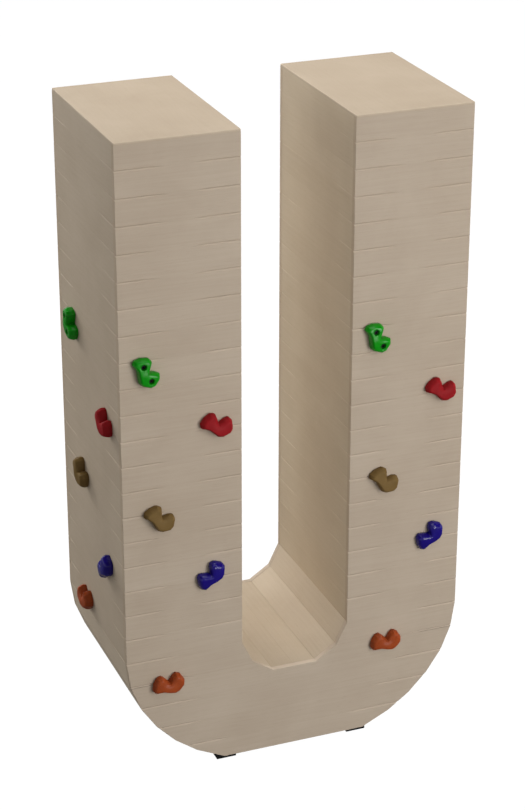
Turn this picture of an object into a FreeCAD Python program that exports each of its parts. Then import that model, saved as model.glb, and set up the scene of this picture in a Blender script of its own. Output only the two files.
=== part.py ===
import FreeCAD, Part
import math
import os
import Sketcher

# A free-standing climbing tower: two hollow legs joined by a rounded base, so that its front is a U.
# Frame: millimetres, +X to the right, +Y to the back, +Z up. The origin is on the floor at the centre.
# Heights in the sheet called "up" are counted from the underside of the base, on top of the feet.

DIMENSIONS = [
    ("body_width", 1294),
    ("body_height", 2400),
    ("body_depth", 682),
    ("leg_width", 441),
    ("foot_height", 24),
    ("foot_width", 75),
    ("foot_depth", 70),
    ("foot_setback", 25),
    ("foot_centre", 260),
    # boards: 96 mm of cover and an open V joint
    ("board_pitch", 96.75),
    ("board_thick", 20),
    ("joint_gap", 0.8),
    ("joint_mouth", 2),
    ("leg_rows", 20),
    ("base_rows", 5),
    ("cap_thick", 9),
    # outer corner: one stave per facet, leaning this far from upright
    ("outer_facet", 102),
    ("outer_lean_one", 8.5),
    ("outer_lean_two", 21.5),
    ("outer_lean_three", 34),
    ("outer_lean_four", 44),
    ("outer_lean_five", 54),
    ("outer_lean_six", 64.5),
    # inner corner, at the bottom of the gap
    ("inner_facet", 95),
    ("inner_lean_one", 26),
    ("inner_lean_two", 56.5),
    # frame
    ("panel_thick", 18),
    ("batten_thick", 20),
    ("post_width", 45),
    ("post_depth", 38),
    ("outer_post_up", 380),
    ("rail_up_one", 640),
    ("rail_up_two", 1190),
    ("rail_up_three", 1790),
    # holds: overall length and width of the two-lobed shape, and how far it stands out
    ("hold_length", 124),
    ("hold_width", 82),
    ("hold_tall", 36),
    ("hold_edge", 16),
    ("bolt_spacing", 60),
    ("seat_thick", 14),
    ("head_recess", 20),
    ("bolt_hole", 11),
    ("nut_hole", 12.2),
    ("insert_hole", 10.4),
    ("insert_deep", 25),
    ("screw_hole", 8.4),
    ("screw_recess", 17),
    ("screw_recess_deep", 8),
    ("foot_screw_spacing", 20),
    # hold turns, anticlockwise from notch up, seen from outside
    ("green_turn", -64),
    ("red_turn", -25),
    ("brown_turn", -42),
    ("blue_turn", 40),
    ("orange_turn", 1),
    # hold places on a leg's front: from the leg's left edge, and up
    ("green_face_x", 92),
    ("green_face_up", 1589),
    ("red_face_x", 346),
    ("red_face_up", 1354),
    ("brown_face_x", 132),
    ("brown_face_up", 1031),
    ("blue_face_x", 318),
    ("blue_face_up", 773),
    ("orange_face_x", 153),
    ("orange_face_up", 364),
    # hold places on an outer side: from its left edge seen from outside, and up
    ("green_side_x", 177),
    ("green_side_up", 1589),
    ("red_side_x", 538),
    ("red_side_up", 1356),
    ("brown_side_x", 243),
    ("brown_side_up", 1036),
    ("blue_side_x", 504),
    ("blue_side_up", 775),
    ("orange_side_x", 242),
    ("orange_side_up", 521),
]
COLOURS = ("green", "red", "brown", "blue", "orange")
FRONT_BOLTED = "green"
BASE_COLOUR = "orange"
OUTER_LEANS = ("one", "two", "three", "four", "five", "six")
INNER_LEANS = ("one", "two")

doc = FreeCAD.newDocument("climbing_tower")
sheet = doc.addObject("Spreadsheet::Sheet", "Sizes")
for row, (alias, size) in enumerate(DIMENSIONS, start=1):
    sheet.set(f"A{row}", str(size))
    sheet.setAlias(f"A{row}", alias)
doc.recompute()

nodes = []


# ---------------------------------------------------------------- helpers

def value(expression):
    """The number that an expression of the sheet's sizes has now."""
    result = sheet.evalExpression(expression)
    return float(getattr(result, "Value", result))


def size(alias):
    return value(f"Sizes.{alias}")


def bind(thing, **expressions):
    for name, expression in expressions.items():
        thing.setExpression(name.replace("__", "."), expression)


def keep(thing, label):
    """Makes a document object one of the named sub-parts."""
    thing.Label = label
    nodes.append(thing)
    return thing


def origin_plane(body, role):
    return next(f for f in body.Origin.OriginFeatures if f.Role == role)


def new_body(name):
    return doc.addObject("PartDesign::Body", name)


def new_sketch(body, name, role):
    sketch = body.newObject("Sketcher::SketchObject", name)
    sketch.AttachmentSupport = [(origin_plane(body, role), "")]
    sketch.MapMode = "FlatFace"
    return sketch


def place_point(sketch, geometry, position, point, where):
    """Ties one point of a sketch to a pair of expressions, measured from the sketch's origin."""
    for kind, expression, number in zip(("DistanceX", "DistanceY"), point, where):
        constraint = Sketcher.Constraint(kind, -1, 1, geometry, position, number)
        index = sketch.addConstraint(constraint)
        sketch.setExpression(f"Constraints[{index}]", expression)


def polygon(body, name, role, points):
    """A closed outline through points that are pairs of expressions."""
    sketch = new_sketch(body, name, role)
    places = [(value(x), value(z)) for x, z in points]
    count = len(points)
    for i, start in enumerate(places):
        end = places[(i + 1) % count]
        line = Part.LineSegment(FreeCAD.Vector(*start, 0), FreeCAD.Vector(*end, 0))
        sketch.addGeometry(line, False)
    for i in range(count):
        sketch.addConstraint(Sketcher.Constraint("Coincident", i, 2, (i + 1) % count, 1))
        place_point(sketch, i, 1, points[i], places[i])
    return sketch


def circles(body, name, role, centres, diameter):
    """Equal circles, centred on pairs of expressions."""
    sketch = new_sketch(body, name, role)
    for i, centre in enumerate(centres):
        where = (value(centre[0]), value(centre[1]))
        circle = Part.Circle(FreeCAD.Vector(*where, 0), FreeCAD.Vector(0, 0, 1), value(diameter) / 2)
        sketch.addGeometry(circle, False)
        place_point(sketch, i, 3, centre, where)
        index = sketch.addConstraint(Sketcher.Constraint("Diameter", i, value(diameter)))
        sketch.setExpression(f"Constraints[{index}]", diameter)
    return sketch


def pad(body, sketch, length, reverse=False):
    feature = body.newObject("PartDesign::Pad", f"{body.Name}_pad")
    feature.Profile = sketch
    feature.Reversed = reverse
    feature.Refine = False
    bind(feature, Length=length)
    return feature


def cut(body, sketch, length=None, reverse=False):
    """A pocket to a depth or, with no length, through everything both ways. It has to remove something."""
    doc.recompute()
    before = body.Shape.Volume
    feature = body.newObject("PartDesign::Pocket", f"{body.Name}_cut")
    feature.Profile = sketch
    feature.Refine = False
    if length is None:
        feature.Type = "ThroughAll"
        feature.Midplane = True
    else:
        feature.Reversed = reverse
        bind(feature, Length=length)
    doc.recompute()
    if not body.Shape.Volume < before - 1:
        raise ValueError(f"the pocket {feature.Name} removes nothing")
    return feature


def box(name, length, width, height, corner):
    """A box with its lowest corner at three expressions."""
    block = doc.addObject("Part::Box", name)
    bind(block, Length=length, Width=width, Height=height)
    bind(block, Placement__Base__x=corner[0], Placement__Base__y=corner[1], Placement__Base__z=corner[2])
    return block


def compound(name, members):
    group = doc.addObject("Part::Compound", name)
    group.Links = members
    return keep(group, name)


def turned(x, y, z, angle):
    """A place and a turn about the vertical."""
    return FreeCAD.Placement(FreeCAD.Vector(x, y, z), FreeCAD.Rotation(FreeCAD.Vector(0, 0, 1), angle))


# ---------------------------------------------------------------- outlines shared by the pieces

CORNER_UP = "(Sizes.body_height - Sizes.board_pitch * Sizes.leg_rows)"
LEG_TOP = "(Sizes.body_height - Sizes.cap_thick)"
SIDE_LENGTH = "(Sizes.body_depth - 2 * Sizes.board_thick)"


def facet_corners(kind, leans, start_x):
    """Corners of a faceted bend that starts upright at start_x and turns towards the tower's middle."""
    corners = [(start_x, CORNER_UP)]
    for lean in leans:
        x, up = corners[-1]
        angle = f"Sizes.{kind}_lean_{lean}"
        across = f"{x} + Sizes.{kind}_facet * sin({angle})"
        corners.append((across, f"{up} - Sizes.{kind}_facet * cos({angle})"))
    return corners


OUTER = facet_corners("outer", OUTER_LEANS[:-1], "0")
LAST_LEAN = "Sizes.outer_lean_six"
OUTER.append((f"{OUTER[-1][0]} + ({OUTER[-1][1]}) * tan({LAST_LEAN})", "0"))
INNER = facet_corners("inner", INNER_LEANS, "Sizes.leg_width")


def lean_angles(kind, names):
    """The lean of each facet, with the upright wall before them and the level run after them."""
    return ["0", *[f"Sizes.{kind}_lean_{name}" for name in names], "90"]


def back_line(corners, angles, side):
    """The corners of the boards' back faces: mitred, one board thickness inside or outside the bend."""
    line = []
    for (x, up), before, after in zip(corners, angles, angles[1:]):
        middle = f"(({before} + {after}) / 2)"
        reach = f"{side} * Sizes.board_thick / cos(({after} - {before}) / 2)"
        line.append((f"{x} + {reach} * cos{middle}", f"{up} + {reach} * sin{middle}"))
    return line


OUTER_BACK = back_line(OUTER, lean_angles("outer", OUTER_LEANS), 1)
OUTER_BACK[0] = ("Sizes.board_thick / cos(Sizes.outer_lean_one)", CORNER_UP)
INNER_BACK = back_line(INNER, lean_angles("inner", INNER_LEANS), -1)
INNER_TOP = ("Sizes.leg_width - Sizes.board_thick", CORNER_UP)


def mirrored(points):
    """The same points on the right half, in the order that closes an outline."""
    return [(f"Sizes.body_width - ({x})", up) for x, up in reversed(points)]


def bolt_centres(colour, wall):
    """Where the two bolts of one hold stand on a wall, 'face' or 'side'."""
    x = f"Sizes.{colour}_{wall}_x"
    up = f"Sizes.{colour}_{wall}_up"
    if wall == "side":
        x = f"{x} - Sizes.board_thick"
    half = "Sizes.bolt_spacing / 2"
    turn = f"Sizes.{colour}_turn"
    return [(f"{x} {sign} {half} * cos({turn})", f"{up} {sign} {half} * sin({turn})") for sign in "-+"]


def wall_bolts(wall, colours):
    return [centre for colour in colours for centre in bolt_centres(colour, wall)]


# ---------------------------------------------------------------- walls
# Each wall is made facing -Y with its left edge at x = 0, then turned to where it stands.
# name: (turn, x, y, kind of holds on it), with x and y in mm at the wall's left end, seen from outside.

half_width = size("body_width") / 2
half_depth = size("body_depth") / 2
leg = size("leg_width")
board = size("board_thick")
half_gap = half_width - leg
lift = size("foot_height")

WALLS = {
    "front_left": (0, -half_width, -half_depth, "face"),
    "front_right": (0, half_gap, -half_depth, "face"),
    "back_right": (180, half_width, half_depth, "face"),
    "back_left": (180, -half_gap, half_depth, "face"),
    "left_outer": (-90, -half_width, half_depth - board, "side"),
    "right_outer": (90, half_width, board - half_depth, "side"),
    "left_inner": (90, -half_gap, board - half_depth, None),
    "right_inner": (-90, half_gap, half_depth - board, None),
}


def wall_placement(name):
    turn, x, y, _ = WALLS[name]
    return turned(x, y, lift, turn)


def groove_boards(body, joints_below_corner, joints):
    """Cuts a panel into separate boards, with an open joint that has a V mouth between them."""
    lowest = f"({CORNER_UP} - ({joints_below_corner}) * Sizes.board_pitch)"
    mouth = "Sizes.joint_mouth + Sizes.joint_gap / 2"
    upper = [("-1", f"{mouth} + 1"), ("Sizes.joint_mouth", "Sizes.joint_gap / 2")]
    upper.append(("Sizes.board_thick + 1", "Sizes.joint_gap / 2"))
    lower = [(y, f"-({up})") for y, up in reversed(upper)]
    section = [(y, f"{lowest} + {up}") for y, up in upper + lower]
    joint = cut(body, polygon(body, f"{body.Name}_joint", "YZ_Plane", section))
    pattern = body.newObject("PartDesign::LinearPattern", f"{body.Name}_joints")
    pattern.Originals = [joint]
    pattern.Direction = (origin_plane(body, "Z_Axis"), [""])
    pattern.Refine = False
    bind(pattern, Length=f"Sizes.board_pitch * ({joints} - 1)", Occurrences=joints)
    body.Tip = pattern
    doc.recompute()


def drill(body, wall, front_hole, rear_hole):
    """Bolt holes through a wall: one size for holds bolted from the front, one for the others."""
    rear_bolted = [colour for colour in COLOURS if colour != FRONT_BOLTED]
    if wall == "face":
        rear_bolted.remove(BASE_COLOUR)
    front_centres = wall_bolts(wall, [FRONT_BOLTED])
    rear_centres = wall_bolts(wall, rear_bolted)
    cut(body, circles(body, f"{body.Name}_front_holes", "XZ_Plane", front_centres, front_hole))
    cut(body, circles(body, f"{body.Name}_rear_holes", "XZ_Plane", rear_centres, rear_hole))


def board_wall(name):
    wall = WALLS[name][3]
    length = "Sizes.leg_width" if wall == "face" else SIDE_LENGTH
    body = new_body(f"{name}_boards")
    outline = [("0", CORNER_UP), (length, CORNER_UP), (length, LEG_TOP), ("0", LEG_TOP)]
    pad(body, polygon(body, f"{name}_outline", "XZ_Plane", outline), "Sizes.board_thick", reverse=True)
    groove_boards(body, "0", "Sizes.leg_rows")
    if wall:
        drill(body, wall, "Sizes.bolt_hole", "Sizes.bolt_hole")
    body.Placement = wall_placement(name)
    return keep(body, f"{name}_boards")


for wall_name in WALLS:
    board_wall(wall_name)


# ---------------------------------------------------------------- base boards, front and back

BASE_OUTLINE = OUTER + mirrored(OUTER) + mirrored(INNER)[::-1] + INNER[::-1]
BASE_PLACES = {"front": (0, -half_width, -half_depth), "back": (180, half_width, half_depth)}


def base_placement(side, depth=0):
    """Where a piece of the base stands that was drawn from its left end, at a depth behind the face."""
    turn, x, y = BASE_PLACES[side]
    return turned(x, y, lift, turn).multiply(turned(0, depth, 0, 0))


def base_bolts():
    """The lowest hold of each leg is on the base."""
    left = bolt_centres(BASE_COLOUR, "face")
    right = [(f"{x} + Sizes.body_width - Sizes.leg_width", up) for x, up in left]
    return left + right


for side in BASE_PLACES:
    boards = new_body(f"{side}_base_boards")
    outline_sketch = polygon(boards, f"{side}_base_outline", "XZ_Plane", BASE_OUTLINE)
    pad(boards, outline_sketch, "Sizes.board_thick", reverse=True)
    groove_boards(boards, "Sizes.base_rows - 1", "Sizes.base_rows")
    cut(boards, circles(boards, f"{side}_base_holes", "XZ_Plane", base_bolts(), "Sizes.bolt_hole"))
    boards.Placement = base_placement(side)
    keep(boards, f"{side}_base_boards")


# ---------------------------------------------------------------- staves round the bends, and the bottom

def stave(name, outline, placement):
    """One board that runs the depth of the tower between the front and back boards."""
    body = new_body(name)
    pad(body, polygon(body, f"{name}_outline", "XZ_Plane", outline), SIDE_LENGTH, reverse=True)
    body.Placement = placement
    return body


def facet_outline(corners, backs, index):
    return [corners[index], corners[index + 1], backs[index + 1], backs[index]]


for side, name in (("front", "left"), ("back", "right")):
    placement = base_placement(side, board)
    outlines = [facet_outline(OUTER, OUTER_BACK, i) for i in range(len(OUTER) - 1)]
    staves = []
    for i, outline in enumerate(outlines):
        staves.append(stave(f"{name}_outer_stave_{i}", outline, placement))
    compound(f"{name}_outer_staves", staves)

middle_x = "Sizes.body_width / 2"
floor_outline = [INNER[-1], (middle_x, INNER[-1][1]), (middle_x, INNER_BACK[-1][1]), INNER_BACK[-1]]
inner_outlines = [facet_outline(INNER, INNER_BACK, i) for i in range(len(INNER) - 1)] + [floor_outline]
inner_outlines[0].append(INNER_TOP)
inner_staves = []
for side in BASE_PLACES:
    for i, outline in enumerate(inner_outlines):
        inner_staves.append(stave(f"{side}_inner_stave_{i}", outline, base_placement(side, board)))
compound("inner_staves", inner_staves)

post_middle = "(Sizes.leg_width - Sizes.board_thick - Sizes.post_width / 2)"
post_setback = "(Sizes.board_thick + Sizes.panel_thick + Sizes.batten_thick + Sizes.post_depth / 2)"
screw_edges = [f"{post_middle} {sign} Sizes.foot_screw_spacing / 2" for sign in "-+"]


def bottom_screws():
    """The foot screws' centres, from the bottom panel's left front corner."""
    near = f"{post_setback} - Sizes.board_thick"
    far = f"{SIDE_LENGTH} - ({near})"
    left = [(x, y) for x in screw_edges for y in (near, far)]
    return left + [(f"Sizes.body_width - ({x})", y) for x, y in left]


bottom_outline = [OUTER[-1], *mirrored(OUTER[-1:]), *mirrored(OUTER_BACK[-1:]), OUTER_BACK[-1]]
bottom = stave("bottom_panel", bottom_outline, base_placement("front", board))
cut(bottom, circles(bottom, "bottom_screw_holes", "XY_Plane", bottom_screws(), "Sizes.screw_hole"))
keep(bottom, "bottom_panel")


# ---------------------------------------------------------------- plywood panels behind the boards

def panel_body(name, outline):
    body = new_body(name)
    pad(body, polygon(body, f"{name}_outline", "XZ_Plane", outline), "Sizes.panel_thick", reverse=True)
    return body


PANEL_OUTLINE = OUTER_BACK + mirrored(OUTER_BACK) + mirrored([INNER_TOP])
PANEL_OUTLINE += mirrored(INNER_BACK)[::-1] + INNER_BACK[::-1] + [INNER_TOP]
face_start = "Sizes.board_thick"
face_end = "Sizes.leg_width - Sizes.board_thick"
side_start = "Sizes.panel_thick"
side_end = f"{SIDE_LENGTH} - Sizes.panel_thick"


def leg_panel(name, start, end):
    """A plywood panel behind a leg's boards, bored for its holds."""
    outline = [(start, CORNER_UP), (end, CORNER_UP), (end, LEG_TOP), (start, LEG_TOP)]
    body = panel_body(f"{name}_panel", outline)
    drill(body, WALLS[name][3], "Sizes.nut_hole", "Sizes.bolt_hole")
    body.Placement = wall_placement(name).multiply(turned(0, board, 0, 0))
    return body


face_panels = [leg_panel(name, face_start, face_end) for name in WALLS if WALLS[name][3] == "face"]
for side in BASE_PLACES:
    panel = panel_body(f"{side}_base_panel", PANEL_OUTLINE)
    cut(panel, circles(panel, f"{side}_base_panel_holes", "XZ_Plane", base_bolts(), "Sizes.bolt_hole"))
    panel.Placement = base_placement(side, board)
    face_panels.append(panel)
compound("face_panels", face_panels)
side_panels = [leg_panel(name, side_start, side_end) for name in WALLS if WALLS[name][3] == "side"]
compound("side_panels", side_panels)

rib = panel_body("base_rib", PANEL_OUTLINE)
rib.Placement = base_placement("front", half_depth - size("panel_thick") / 2)
keep(rib, "base_rib")


# ---------------------------------------------------------------- caps, posts, battens and rails

SIDES = ("left", "right")
ENDS = ("front", "back")
OUTER_POST = "(Sizes.board_thick + Sizes.panel_thick)"
INNER_POST = "(Sizes.leg_width - Sizes.board_thick - Sizes.post_width)"
POST_SETBACK = f"({OUTER_POST} + Sizes.batten_thick)"
RAIL_LENGTH = f"(Sizes.body_depth - 2 * ({POST_SETBACK} + Sizes.post_depth))"
RAIL_UPS = ["Sizes.rail_up_one", "Sizes.rail_up_two", "Sizes.rail_up_three"]
RAIL_UPS.append(f"({LEG_TOP} - Sizes.post_width)")


def leg_block(name, side, end, extent, start):
    """A box in one leg. start is (from the leg's outer edge, from the tower's face, up)."""
    along, back, up = start
    x = f"-Sizes.body_width / 2 + {along}"
    y = f"-Sizes.body_depth / 2 + {back}"
    if side == "right":
        x = f"Sizes.body_width / 2 - ({along}) - ({extent[0]})"
    if end == "back":
        y = f"Sizes.body_depth / 2 - ({back}) - ({extent[1]})"
    return box(name, *extent, (x, y, f"Sizes.foot_height + {up}"))


def pilot_holes(name, side, end, post):
    """Bores an inner post's foot for the two screws that come up through the foot."""
    pilots = []
    for i, along in enumerate(screw_edges):
        pilot = doc.addObject("Part::Cylinder", f"{name}_pilot_{i}")
        x = f"Sizes.body_width / 2 - ({along})" if side == "right" else f"{along} - Sizes.body_width / 2"
        y = f"Sizes.body_depth / 2 - {post_setback}"
        if end == "front":
            y = f"-({y})"
        bind(pilot, Radius="Sizes.screw_hole / 2", Height="Sizes.post_width * 2")
        bind(pilot, Placement__Base__x=x, Placement__Base__y=y)
        pilots.append(pilot)
    tool = doc.addObject("Part::Compound", f"{name}_pilots")
    tool.Links = pilots
    bored = doc.addObject("Part::Cut", f"{name}_bored")
    bored.Base = post
    bored.Tool = tool
    return bored


CAP_EXTENT = ("Sizes.leg_width", "Sizes.body_depth", "Sizes.cap_thick")
OUTER_POST_EXTENT = ("Sizes.post_width", "Sizes.post_depth", f"{LEG_TOP} - Sizes.outer_post_up")
INNER_POST_EXTENT = ("Sizes.post_width", "Sizes.post_depth", f"{LEG_TOP} - Sizes.board_thick")
BATTEN_LENGTH = f"{INNER_POST} + Sizes.post_width - {OUTER_POST}"
BATTEN_EXTENT = (BATTEN_LENGTH, "Sizes.batten_thick", "Sizes.post_width")
RAIL_EXTENT = ("Sizes.post_width", RAIL_LENGTH, "Sizes.post_width")
RAIL_SETBACK = f"{POST_SETBACK} + Sizes.post_depth"

posts = []
battens = []
rails = []
for side in SIDES:
    keep(leg_block(f"{side}_top_cap", side, "front", CAP_EXTENT, ("0", "0", LEG_TOP)), f"{side}_top_cap")
    for end in ENDS:
        where = f"{side}_{end}"
        outer_start = (OUTER_POST, POST_SETBACK, "Sizes.outer_post_up")
        inner_start = (INNER_POST, POST_SETBACK, "Sizes.board_thick")
        posts.append(leg_block(f"{where}_outer_post", side, end, OUTER_POST_EXTENT, outer_start))
        inner_post = leg_block(f"{where}_inner_post", side, end, INNER_POST_EXTENT, inner_start)
        posts.append(pilot_holes(f"{where}_inner_post", side, end, inner_post))
        for i, up in enumerate(RAIL_UPS):
            start = (OUTER_POST, OUTER_POST, up)
            battens.append(leg_block(f"{where}_batten_{i}", side, end, BATTEN_EXTENT, start))
    for i, up in enumerate(RAIL_UPS):
        for place, along in (("outer", OUTER_POST), ("inner", INNER_POST)):
            start = (along, RAIL_SETBACK, up)
            rails.append(leg_block(f"{side}_{place}_rail_{i}", side, "front", RAIL_EXTENT, start))
compound("leg_posts", posts)
compound("face_battens", battens)
compound("leg_rails", rails)


# ---------------------------------------------------------------- feet

FLAT_START = f"({OUTER[-1][0]} - Sizes.body_width / 2 + Sizes.foot_centre)"
FOOT_RISE = f"({FLAT_START} + Sizes.foot_width / 2) / tan({LAST_LEAN})"
SCREW_SHIFT = "Sizes.foot_centre - Sizes.body_width / 2"


def foot(name, side, end):
    """A block whose top follows the base: level under the flat, and sloping up under the last facet."""
    body = new_body(name)
    half = "Sizes.foot_width / 2"
    outline = [(f"-{half}", "0"), (half, "0"), (half, "Sizes.foot_height")]
    outline += [(FLAT_START, "Sizes.foot_height"), (f"-{half}", f"Sizes.foot_height + {FOOT_RISE}")]
    pad(body, polygon(body, f"{name}_outline", "XZ_Plane", outline), "Sizes.foot_depth", reverse=True)
    from_face = f"{post_setback} - Sizes.foot_setback"
    if (side == "left") != (end == "front"):
        from_face = f"Sizes.foot_depth - ({from_face})"
    centres = [(f"{x} + {SCREW_SHIFT}", from_face) for x in screw_edges]
    cut(body, circles(body, f"{name}_holes", "XY_Plane", centres, "Sizes.screw_hole"))
    recesses = circles(body, f"{name}_recesses", "XY_Plane", centres, "Sizes.screw_recess")
    cut(body, recesses, "Sizes.screw_recess_deep", reverse=True)
    turn = 0 if side == "left" else 180
    reach = half_depth - size("foot_setback")
    if (side == "left") == (end == "front"):
        y = -reach
    else:
        y = reach - size("foot_depth")
    body.Placement = turned(0, 0, 0, turn).multiply(turned(-size("foot_centre"), y, 0, 0))
    return keep(body, name)


for side in SIDES:
    for end in ENDS:
        foot(f"{end}_{side}_foot", side, end)


# ---------------------------------------------------------------- climbing holds

# The hold's outline, notch up, as shares of its length and width: left lobe, notch, right lobe, hollow.
HOLD_OUTLINE = (
    (-0.49, -0.20),
    (-0.46, 0.08),
    (-0.34, 0.38),
    (-0.21, 0.44),
    (-0.10, 0.30),
    (0.02, 0.09),
    (0.13, 0.36),
    (0.23, 0.48),
    (0.36, 0.40),
    (0.49, 0.08),
    (0.48, -0.15),
    (0.29, -0.44),
    (0.16, -0.49),
    (0.00, -0.40),
    (-0.17, -0.32),
    (-0.42, -0.36),
)
LOBE_ACROSS = 0.235
TOP_SHARE = 0.74


def hold_points(share):
    """The outline drawn in towards the lobes' centres, to a share of its size."""
    points = []
    for across, up in HOLD_OUTLINE:
        centre = math.copysign(LOBE_ACROSS, across)
        if abs(across) < LOBE_ACROSS / 2:
            centre = across
        along = centre + share * (across - centre)
        points.append((f"{along:.4f} * Sizes.hold_length", f"{up * share:.4f} * Sizes.hold_width"))
    return points


def hold(name, colour, placement):
    """A two-lobed hold: a straight base and a bevelled top, with its two bolt holes."""
    body = new_body(name)
    edge_start = "Sizes.hold_tall - Sizes.hold_edge"
    pad(body, polygon(body, f"{name}_base", "XZ_Plane", hold_points(1)), edge_start)
    rim = polygon(body, f"{name}_rim", "XZ_Plane", hold_points(1))
    bind(rim, AttachmentOffset__Base__z=edge_start)
    top = polygon(body, f"{name}_top", "XZ_Plane", hold_points(TOP_SHARE))
    bind(top, AttachmentOffset__Base__z="Sizes.hold_tall")
    bevel = body.newObject("PartDesign::AdditiveLoft", f"{name}_bevel")
    bevel.Profile = rim
    bevel.Sections = [top]
    bevel.Ruled = True
    half = "Sizes.bolt_spacing / 2"
    centres = [(f"-{half}", "0"), (half, "0")]
    if colour == FRONT_BOLTED:
        cut(body, circles(body, f"{name}_bores", "XZ_Plane", centres, "Sizes.bolt_hole"))
        recess = circles(body, f"{name}_recess", "XZ_Plane", centres, "Sizes.head_recess")
        bind(recess, AttachmentOffset__Base__z="Sizes.seat_thick")
        cut(body, recess, "Sizes.hold_tall", reverse=True)
    else:
        bores = circles(body, f"{name}_inserts", "XZ_Plane", centres, "Sizes.insert_hole")
        cut(body, bores, "Sizes.insert_deep", reverse=True)
    body.Placement = placement
    return keep(body, name)


def on_wall(name, colour):
    """The placement of a hold's centre on a wall, turned as the hold is."""
    wall = WALLS[name][3]
    across = size(f"{colour}_{wall}_x") - (board if wall == "side" else 0)
    centre = turned(across, 0, size(f"{colour}_{wall}_up"), 0)
    spin = FreeCAD.Rotation(FreeCAD.Vector(0, -1, 0), size(f"{colour}_turn"))
    return wall_placement(name).multiply(centre).multiply(FreeCAD.Placement(FreeCAD.Vector(), spin))


HOLD_WALLS = [name for name in WALLS if WALLS[name][3]]
for wall_name in HOLD_WALLS:
    for colour in COLOURS:
        hold(f"{wall_name}_{colour}_hold", colour, on_wall(wall_name, colour))


# ---------------------------------------------------------------- fasteners
# Each is made at a bolt's centre on a wall facing -Y, and copied to every place.

OUT = FreeCAD.Vector(0, -1, 0)
SHANK_RADIUS = 4.9
HEAD_RADIUS = 8
HEAD_TALL = 10
SOCKET_RADIUS = 4.6
SOCKET_DEEP = 5
NUT_FLANGE_RADIUS = 13
NUT_FLANGE_THICK = 2
NUT_BARREL_TALL = 11
NUT_BORE_RADIUS = 5.05
NUT_CLEARANCE = 0.1
BOLT_PAST_NUT = 6
REAR_FLANGE_RADIUS = 11
REAR_HEAD_RADIUS = 9
REAR_HEAD_TALL = 7
INSERT_END_GAP = 3
SCREW_RADIUS = 4
SCREW_HEAD_RADIUS = 7.5
SCREW_HEAD_TALL = 5
SCREW_LONG = 75


def rod(radius, start, end):
    """A round bar along a wall's normal, from one depth behind the boards' face to a shallower one."""
    return Part.makeCylinder(radius, start - end, FreeCAD.Vector(0, start, 0), OUT)


def hex_rod(radius, start, end):
    """A hexagonal bar, measured to its corners."""
    corners = [
        FreeCAD.Vector(radius * math.cos(math.radians(a)), start, radius * math.sin(math.radians(a)))
        for a in range(0, 361, 60)
    ]
    return Part.Face(Part.makePolygon(corners)).extrude(OUT * (start - end))


wall_back = board + size("panel_thick")
seat = -size("seat_thick")
front_bolt = rod(HEAD_RADIUS, seat, seat - HEAD_TALL)
front_bolt = front_bolt.fuse(rod(SHANK_RADIUS, wall_back + BOLT_PAST_NUT, seat))
front_bolt = front_bolt.cut(hex_rod(SOCKET_RADIUS, seat - HEAD_TALL + SOCKET_DEEP, seat - HEAD_TALL - 1))
barrel_radius = size("nut_hole") / 2 - NUT_CLEARANCE
nut = rod(NUT_FLANGE_RADIUS, wall_back + NUT_FLANGE_THICK, wall_back)
nut = nut.fuse(rod(barrel_radius, wall_back + 1, wall_back - NUT_BARREL_TALL))
nut = nut.cut(rod(NUT_BORE_RADIUS, wall_back + BOLT_PAST_NUT, 0))
rear_shank = rod(SHANK_RADIUS, wall_back + 1, INSERT_END_GAP - size("insert_deep"))
rear_flange_back = wall_back + NUT_FLANGE_THICK
rear_bolt = rear_shank.fuse(rod(REAR_FLANGE_RADIUS, rear_flange_back, wall_back))
rear_head_back = rear_flange_back + REAR_HEAD_TALL
rear_bolt = rear_bolt.fuse(hex_rod(REAR_HEAD_RADIUS, rear_head_back, rear_flange_back - 1))


def copies(label, shape, placements):
    """One sub-part that is a group of equal solids."""
    solids = []
    for placement in placements:
        solid = shape.removeSplitter().copy()
        solid.Placement = placement
        solids.append(solid)
    group = doc.addObject("Part::Feature", label)
    group.Shape = Part.makeCompound(solids)
    return keep(group, label)


def bolt_placements(colours):
    reach = size("bolt_spacing") / 2
    places = []
    for wall_name in HOLD_WALLS:
        for colour in colours:
            for along in (-reach, reach):
                places.append(on_wall(wall_name, colour).multiply(turned(along, 0, 0, 0)))
    return places


copies("hold_front_bolts", front_bolt, bolt_placements([FRONT_BOLTED]))
copies("hold_t_nuts", nut, bolt_placements([FRONT_BOLTED]))
copies("hold_rear_bolts", rear_bolt, bolt_placements([c for c in COLOURS if c != FRONT_BOLTED]))

screw_seat = FreeCAD.Vector(0, 0, size("screw_recess_deep"))
head_bottom = FreeCAD.Vector(0, 0, screw_seat.z - SCREW_HEAD_TALL)
screw = Part.makeCylinder(SCREW_HEAD_RADIUS, SCREW_HEAD_TALL, head_bottom)
screw = screw.fuse(Part.makeCylinder(SCREW_RADIUS, SCREW_LONG, screw_seat))
foot_places = []
for along in screw_edges:
    for sign_x in (-1, 1):
        for sign_y in (-1, 1):
            x = sign_x * (half_width - value(along))
            foot_places.append(turned(x, sign_y * (half_depth - value(post_setback)), 0, 0))
copies("foot_screws", screw, foot_places)


# ---------------------------------------------------------------- check and write

doc.recompute()
for thing in doc.Objects:
    if {"Invalid", "Error"} & set(thing.State):
        raise ValueError(f"{thing.Label} failed: {thing.State}")
labels = [node.Label for node in nodes]
if len(set(labels)) != len(labels):
    raise ValueError("two sub-parts share a label")
for node in nodes:
    if node.Shape.isNull() or not node.Shape.isValid():
        raise ValueError(f"{node.Label} has no valid shape")

os.makedirs("parts", exist_ok=True)
for node in nodes:
    node.Shape.exportStep(f"parts/{node.Label}.step")
print(len(nodes), "sub-parts,", sum(len(node.Shape.Solids) for node in nodes), "solids")
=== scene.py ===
import math
import random

import bmesh
import bpy
from mathutils import Matrix, Vector
from mathutils.geometry import delaunay_2d_cdt


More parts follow.
